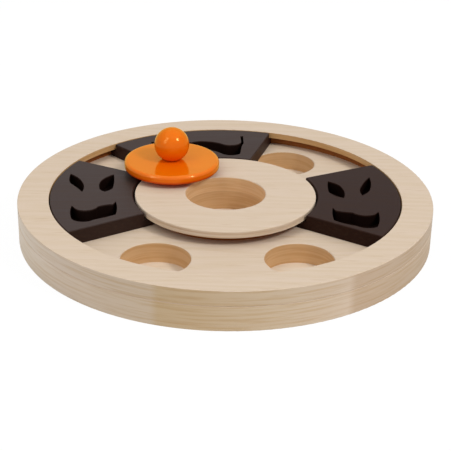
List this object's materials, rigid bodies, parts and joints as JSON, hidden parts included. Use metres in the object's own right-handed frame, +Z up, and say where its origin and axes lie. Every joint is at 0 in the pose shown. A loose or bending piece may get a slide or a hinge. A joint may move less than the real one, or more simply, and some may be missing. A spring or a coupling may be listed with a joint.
{
  "type": "dog puzzle feeder toy",
  "caption": "Round wooden treat puzzle: dark sector blocks slide round a track over treat pockets, and a lid with a ball knob closes the cup in the hub.",
  "frame": {"origin": "centre of the underside of the board, on the surface that it stands on", "axes": "+Z up out of the board; +Y towards the back block, +X towards the right face block"},
  "size_m": [0.31, 0.31, 0.0658],
  "materials": {
    "board_wood": "light hardwood, sanded and clear oiled",
    "dark_wood": "matt dark brown stain",
    "orange_lacquer": "glossy orange lacquer on wood",
    "dowel_wood": "plain hardwood dowel"
  },
  "bodies": {
    "board": {"bottom_panel": "board_wood", "pocket_board": "board_wood", "rim_ring": "board_wood", "hub_disc": "board_wood", "hub_dowels": "dowel_wood"},
    "left_block": {"slider_left": "dark_wood"},
    "right_block": {"slider_right": "dark_wood"},
    "back_block": {"slider_back": "dark_wood"},
    "lid": {"lid_plate": "orange_lacquer", "lid_plug": "orange_lacquer", "lid_knob": "orange_lacquer", "lid_dowel": "dowel_wood"}
  },
  "joints": [
    {"name": "left_block_turn", "type": "hinge", "parent": "board", "child": "left_block", "pos_m": [0, 0, 0.024], "axis": [0, 0, 1], "range_deg": [-9, 56]},
    {"name": "right_block_turn", "type": "hinge", "parent": "board", "child": "right_block", "pos_m": [0, 0, 0.024], "axis": [0, 0, 1], "range_deg": [-56, 22]},
    {"name": "back_block_turn", "type": "hinge", "parent": "board", "child": "back_block", "pos_m": [0, 0, 0.024], "axis": [0, 0, 1], "range_deg": [-23, 9]},
    {"name": "lid_lift", "type": "slide", "parent": "board", "child": "lid", "axis": [0, 0, 1], "range_m": [0, 0.08]}
  ]
}
